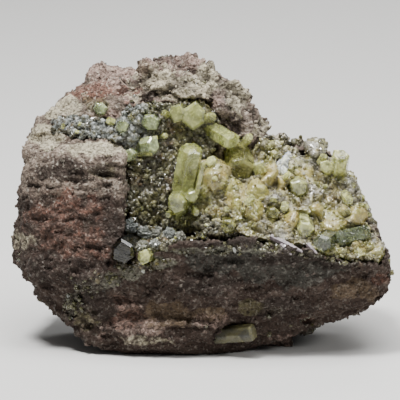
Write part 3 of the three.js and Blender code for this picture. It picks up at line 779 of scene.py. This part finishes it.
centres, ways = strewn(chalcedony_mesh, SUGAR_BEADS, draw, sugary)
sizes = mostly_small(SUGAR_BEADS, 0.2, 0.5, 2.4, draw)
tall = sizes * draw.uniform(0.8, 1.2, SUGAR_BEADS)
grains_mesh = joined_copies(
    "sugar_beads", ball_shape(), centres, ways, sizes, tall, draw, **crust_traits(centres)
)

grains_look = Finish("bead_silica")
pale = grains_look.step(grains_look.read("tone"), 0.5, 1) * 0.4
colour = grains_look.mix(pale, silica_colour(grains_look), srgb(182, 176, 150))
grains_finish = grains_look.surface(colour, 0.1, grains_look.grain(0.4, 2), 0.08, SUGAR_GLASS)
show_piece("sugar_beads", grains_mesh, grains_finish, "chalcedony")

# The apatite crystals. Six-sided yellow-green prisms with flat bevelled ends, glassy and
# see-through with cloudy veils inside and fine growth lines along their sides. Each sits with its
# root in the crust or the rock.

CRYSTAL_GROW = 0.3
CRYSTAL_BEVEL = 0.08
CRYSTAL_CUTS = 5
APATITE_IOR = 1.63
GROWTH_LINES = (2, 0.1, 1)
LEAST_CLOUD = 0.13
ABSORPTION = 120.0
# Each finish: the tints of its cloud, its glass and its rust, the colour that passes through it,
# the share that is veiled, and how dull it is.
APATITE_LOOKS = {
    "yellow_green": [
        (216, 218, 156), (242, 244, 204), (172, 168, 92), (0.9, 0.93, 0.6), 0.42, 0.04,
    ],
    "clear": [(222, 226, 158), (246, 250, 208), (176, 174, 96), (0.92, 0.96, 0.62), 0.24, 0.02],
    "pale_green": [
        (204, 215, 168), (238, 245, 220), (170, 178, 122), (0.89, 0.93, 0.72), 0.36, 0.04,
    ],
    "olive": [(158, 157, 100), (214, 215, 152), (112, 100, 56), (0.8, 0.83, 0.5), 0.4, 0.04],
    "dull": [(88, 84, 54), (104, 100, 60), (72, 62, 42), (0.5, 0.5, 0.28), 1.0, 0.45],
    "dark": [(44, 40, 20), (96, 90, 44), (30, 26, 14), (0.3, 0.28, 0.12), 0.2, 0.04],
    "teal": [(142, 150, 124), (212, 218, 172), (122, 126, 74), (0.8, 0.84, 0.56), 0.2, 0.02],
    # The bar crystal's near-white finish is a painted glint on its face.
    "painted_glint": [(232, 236, 226), (244, 248, 238), (214, 220, 196), (0.95, 0.97, 0.9), 0.9, 0.02],
}
# The finish of each crystal that isn't plain yellow-green.
CRYSTAL_LOOKS = {
    "pale_crystal": "pale_green", "mint_crystal": "pale_green", "striated_crystals": "pale_green",
    "seam_crystal": "pale_green", "bar_crystal": "painted_glint", "olive_crystal": "olive",
    "foot_crystal": "olive", "druse_crystal": "olive", "upper_crystals": "clear",
    "tall_crystals": "clear", "long_crystals": "teal", "dark_crystal": "dark",
    "underside_crystal": "dull",
}


def apatite_finish(name, cloudy, clear, rusty, inside, veiled, dull):
    """Glassy apatite: clear is the glass's tint, inside the colour it lets pass, dull its roughness.
    Cloudy and rusty veils cover about the share veiled, and growth lines run along its sides."""
    look = Finish(name)
    broad = look.step(look.grain(2.4, 5), 0.36, 0.66)
    small = look.step(look.grain(0.6, 3), 0.5, 0.7) * 0.7
    growth = look.node("ShaderNodeUVMap", {"uv_map": "growth"}, {})
    growth = look.node("ShaderNodeMapping", {}, {"Vector": growth, "Scale": GROWTH_LINES})
    lines = look.node("ShaderNodeTexNoise", {}, {"Vector": growth, "Scale": 1.0, "Detail": 3.0})
    relief = lines + look.grain(0.7, 2) * 0.5
    roughness = look.step(look.grain(1.4, 3), 0.5, 0.66) * 0.1 + dull
    glass_sockets = {"Transmission Weight": 1.0, "IOR": APATITE_IOR}
    glass = look.shader(srgb(*clear), roughness, relief, 0.08, glass_sockets)
    rust = look.step(look.grain(1.8, 4), 0.56, 0.68) * 0.5
    cloud_sockets = {
        "IOR": APATITE_IOR, "Subsurface Weight": 0.9, "Subsurface Radius": (1.0, 1.0, 0.6),
        "Subsurface Scale": 0.0012,
    }
    colour = look.mix(rust, srgb(*cloudy), srgb(*rusty))
    cloud = look.shader(colour, roughness, relief, 0.08, cloud_sockets)
    cover = (broad + small) * veiled + LEAST_CLOUD
    absorbed = {"Color": (*inside, 1), "Density": ABSORPTION}
    ends = {
        "Surface": look.node("ShaderNodeMixShader", {}, {0: cover, 1: glass, 2: cloud}),
        "Volume": look.node("ShaderNodeVolumeAbsorption", {}, absorbed),
    }
    look.node("ShaderNodeOutputMaterial", {}, ends, None)
    return look.material


def growth_map(mesh):
    """Lays a UV map on crystals, in millimetres: each face is mapped flat, with its longest edge
    along the second coordinate."""
    spots = places(mesh)
    laid = np.empty((len(mesh.loops), 2))
    for face in mesh.polygons:
        corners = spots[list(face.vertices)]
        edges = np.roll(corners, -1, axis=0) - corners
        along = edges[np.linalg.norm(edges, axis=1).argmax()]
        along = along / np.linalg.norm(along)
        aside = np.cross(face.normal, along)
        flat = corners @ np.stack([aside, along], axis=1)
        laid[face.loop_start : face.loop_start + face.loop_total] = flat
    mesh.uv_layers.new(name="growth").data.foreach_set("uv", laid.ravel())


def crystal_copy(node):
    """A CAD crystal with its triangles merged into flat faces, grown outwards by CRYSTAL_GROW
    along the corner normals, bevelled, cut up finely and etched by noise."""
    mesh, solid = merged_copy(node)
    flat = math.radians(2)
    bmesh.ops.dissolve_limit(solid, angle_limit=flat, verts=solid.verts, edges=solid.edges)
    solid.normal_update()
    solid.to_mesh(mesh)
    push_out(mesh, CRYSTAL_GROW)
    growth_map(mesh)
    solid.clear()
    solid.from_mesh(mesh)
    bmesh.ops.bevel(
        solid, geom=solid.edges, offset=CRYSTAL_BEVEL, segments=1, affect="EDGES",
        clamp_overlap=True,
    )
    bmesh.ops.triangulate(solid, faces=solid.faces)
    bmesh.ops.subdivide_edges(solid, edges=solid.edges, cuts=CRYSTAL_CUTS, use_grid_fill=True)
    solid.to_mesh(mesh)
    solid.free()
    push_out(mesh, 0.04 * noise(places(mesh), 1.4, 401) + 0.02 * noise(places(mesh), 0.6, 402))
    return mesh


APATITE = {tint: apatite_finish(tint + "_apatite", *look) for tint, look in APATITE_LOOKS.items()}
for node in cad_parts:
    if node.endswith(("crystal", "crystals", "hexagon")):
        finish = APATITE[CRYSTAL_LOOKS.get(node, "yellow_green")]
        show_piece(node + "_glassy", crystal_copy(node), finish, "apatite", node, smooth=False)

# Smaller apatite crystals: a few companions that lean on the large ones and grow out of the crust
# beside them, and stubby prisms a millimetre long strewn over both crusts. They are one joined
# mesh.

SMALL_APATITES = 56
SMALL_SEED = 12
NEAR_SPOT = 0.8
ROOT_SINK = 0.6
# Each companion: the spots of its root and tip across and up, how far its tip stands out, width.
COMPANIONS = [
    ((-0.6, 1.5), (0.9, 9), 2.6, 0.9), ((-4.9, 3), (-4.8, 9), 1.5, 0.7),
    ((-6.4, -2.4), (-7.6, -3.6), 2.2, 0.9), ((-1.4, -2), (-0.8, -3.2), 2.4, 1),
    ((-14, 13.8), (-10, 14.8), 1.8, 0.7), ((-14.6, 10.8), (-11.6, 11), 2.2, 0.6),
    ((1, 19), (3.2, 20), 2.2, 1.1), ((-7.2, 20), (-8.6, 20.8), 2, 0.9),
    ((10, 13.4), (12, 15), 1.8, 1), ((4.8, 16.4), (9, 13.8), 3.6, 0.8),
    ((19.8, 5), (21.2, 6.6), 1.6, 0.7), ((14.6, 6.4), (13.6, 9), 2.2, 1.7),
    ((34.4, 1.4), (35.2, -0.4), 1.6, 1.2), ((28.6, 9), (29.6, 10.6), 1.6, 1),
    ((20, -1), (19.8, -2.2), 1.4, 0.9), ((-9.4, 14.6), (-8, 15.4), 1.4, 0.8),
    ((-20.6, 18.4), (-21.8, 19), 1.6, 0.8), ((12.2, 0.4), (11, -0.6), 1.5, 1),
]

grown_on = (rock_mesh, druse_mesh, chalcedony_mesh)
front = show_side(np.vstack([places(mesh) * METRE for mesh in grown_on]))


def turned_back(x, y, z):
    """A step across, in depth and up on the show side, turned by TILT about the across axis into
    the part's own axes."""
    deep = y * math.cos(TILT) + z * math.sin(TILT)
    return np.array([x, deep, z * math.cos(TILT) - y * math.sin(TILT)])


def foremost(spot, lift):
    """The place by lift in front of the foremost rock or crust near a spot across and up."""
    x, z = spot
    across, depth, up = front
    y = depth[np.hypot(across - x, up - z) < NEAR_SPOT].min() - lift
    return SHOW_MIDDLE + turned_back(x, y, z)


def between(blades):
    """Centres, ways, widths and lengths for prisms from -0.5 to 1 that run from root to tip. A
    blade is given by the spots of both, how far its tip stands out and its width."""
    roots = np.array([foremost(root, -ROOT_SINK) for root, tip, lift, width in blades])
    run = np.array([foremost(tip, lift) for root, tip, lift, width in blades]) - roots
    lengths = np.linalg.norm(run, axis=1)
    widths = np.array([width for root, tip, lift, width in blades])
    return roots + run / 3, run / lengths[:, None], widths, lengths / 1.5


def facing(middle, out):
    """1 on faces that look towards the front, and 0 on others."""
    return (out[:, 1] < -0.2) * 1.0


def front_or_top(middle, out):
    """1 on faces that look to the front or up, and 0 on others."""
    return (out[:, 2] - out[:, 1] > 0.3) * 1.0


draw = np.random.default_rng(SMALL_SEED)
on_druse = strewn(druse_mesh, SMALL_APATITES // 2, draw, facing)
on_crust = strewn(chalcedony_mesh, SMALL_APATITES // 2, draw, front_or_top)
sizes = draw.uniform(0.3, 0.75, SMALL_APATITES)
spots, out = [np.vstack(pair) for pair in zip(on_druse, on_crust)]
leaning = tilted(out, 0.6, draw)
stubby = [spots, leaning, sizes, sizes * draw.uniform(1.2, 2.4, SMALL_APATITES)]
placed = [np.concatenate(pair) for pair in zip(between(COMPANIONS), stubby)]
small_mesh = joined_copies("small_apatites", prism_shape(0.7, 0.8), *placed, draw)
growth_map(small_mesh)
show_piece("small_apatites", small_mesh, APATITE["yellow_green"], "apatite", smooth=False)

# Round clumps of grey quartz where the hollow's lining spills over the edge at its lower left, up
# to four millimetres across. Each is a burst of short prisms, and they are one joined mesh.

LEDGE_POINTS = 130
LEDGE_SINK = 0.7
LEDGE_SEED = 15
# Each clump: middle across and up, radius, and how bluish it is.
LEDGE_CLUMPS = [
    (-16.4, -6.2, 2, 1), (-13.2, -7.8, 2, 0.7), (-10.2, -8, 1.8, 0.4), (-13.6, -10.8, 1.4, 0.2),
    (-7.2, -8, 1.6, 0.8), (-10.6, -10.4, 1.3, 0.6), (-4.6, -8.6, 1.2, 0.3),
]

draw = np.random.default_rng(LEDGE_SEED)
radius, bluish = np.repeat(LEDGE_CLUMPS, LEDGE_POINTS, axis=0).T[2:]
middles = np.array([foremost(clump[:2], -LEDGE_SINK) for clump in LEDGE_CLUMPS])
turn = draw.uniform(0, 2 * math.pi, len(radius))
off = np.sqrt(draw.random(len(radius)))
steps = turned_back(off * np.cos(turn), -np.sqrt(1 - off**2), off * np.sin(turn)).T
centres = np.repeat(middles, LEDGE_POINTS, axis=0) + 0.75 * radius[:, None] * steps
sizes = draw.uniform(0.16, 0.46, len(radius))
ways = tilted(steps, 0.35, draw)
tall = sizes * draw.uniform(1, 2, len(radius))
ledge_mesh = joined_copies(
    "ledge_quartz", prism_shape(0.2, 0.45), centres, ways, sizes, tall, draw, least_tone=0.3,
    seam=bluish,
)

ledge = Finish("bluish_quartz")
colour = ledge.mix(ledge.read("tone"), srgb(98, 96, 80), srgb(164, 162, 146))
colour = ledge.mix(ledge.read("seam") * 0.7, colour, srgb(136, 144, 145))
colour = ledge.mix(ledge.step(ledge.grain(0.9, 4), 0.5, 0.7) * 0.5, colour, srgb(66, 64, 50))
ledge_glass = {"Transmission Weight": 0.4, "IOR": QUARTZ_IOR}
ledge_finish = ledge.surface(colour, 0.12, sockets=ledge_glass)
show_piece("ledge_quartz", ledge_mesh, ledge_finish, "quartz", smooth=False)

# Mauve-grey splinters of the rock that stick out from under the crust's lower edge, thin blades up
# to a centimetre long. They are one joined mesh.

SPLINTER_SEED = 21
# Each splinter: the spots of its root and tip across and up, how far its tip stands out, width.
SPLINTERS = [
    ((16.7, -8.6), (24, -12.2), 0.4, 0.75), ((25.2, -10.4), (27.4, -12.6), 0.3, 0.6),
    ((19, -10.4), (21.4, -12.8), 0.3, 0.5),
]

draw = np.random.default_rng(SPLINTER_SEED)
blade = prism_shape(0.35, 0.3)
splinter_mesh = joined_copies("mauve_splinters", blade, *between(SPLINTERS), draw)

mauve = Finish("mauve_splinter")
mottled = mauve.step(mauve.grain(1.2, 4), 0.4, 0.6)
colour = mauve.mix(mottled, srgb(104, 94, 97), srgb(138, 127, 130))
splinter_finish = mauve.surface(colour, 0.4, mauve.grain(0.4, 4), 0.15)
show_piece("mauve_splinters", splinter_mesh, splinter_finish, "rock", smooth=False)

# The studio: a plain pale floor, soft light from above and a little left, and a long lens that
# looks down at the show side by TILT. Its lengths are in metres.

FLOOR_HALF = 3
CAMERA_REACH = 1.066
WORLD_LIGHT = 0.16

floor_mesh = bpy.data.meshes.new("floor")
square = FLOOR_HALF * np.array([(-1, -1, 0), (1, -1, 0), (1, 1, 0), (-1, 1, 0)])
floor_mesh.from_pydata(square.tolist(), [], [(0, 1, 2, 3)])
floor = bpy.data.objects.new("floor", floor_mesh)
bpy.context.collection.objects.link(floor)
paper = Finish("floor_paper")
floor_mesh.materials.append(paper.surface(srgb(206, 205, 202), 0.9))


def softbox(name, spot, size, power):
    """A round area light at a spot, given from the specimen's middle, that faces the middle."""
    light = bpy.data.lights.new(name, "AREA")
    light.shape = "DISK"
    light.size = size
    light.energy = power
    lamp = bpy.data.objects.new(name, light)
    bpy.context.collection.objects.link(lamp)
    lamp.location = spot
    lamp.rotation_euler = (-lamp.location).to_track_quat("-Z", "Y").to_euler()
    lamp.location.z += SHOW_MIDDLE[2] / METRE


softbox("key", (-0.16, -0.17, 0.62), size=0.15, power=6.5)
softbox("sky", (0.05, -0.08, 0.62), size=0.6, power=6.8)
softbox("fill", (0.6, -0.35, 0.42), size=0.2, power=1.8)
softbox("rim", (0.15, 0.6, 0.45), size=0.3, power=1.8)

world = bpy.data.worlds.new("studio")
bpy.context.scene.world = world
world.use_nodes = True
background = world.node_tree.nodes["Background"]
background.inputs["Color"].default_value = (0.8, 0.82, 0.85, 1)
background.inputs["Strength"].default_value = WORLD_LIGHT

lens = bpy.data.cameras.new("camera")
lens.lens = 400
lens.sensor_width = 36
lens.clip_start = 0.01
camera = bpy.data.objects.new("camera", lens)
bpy.context.collection.objects.link(camera)
back_and_up = np.array([0, -math.cos(TILT), math.sin(TILT)])
camera.location = SHOW_MIDDLE / METRE + CAMERA_REACH * back_and_up
camera.rotation_euler = (math.radians(90) - TILT, 0, 0)
bpy.context.scene.camera = camera
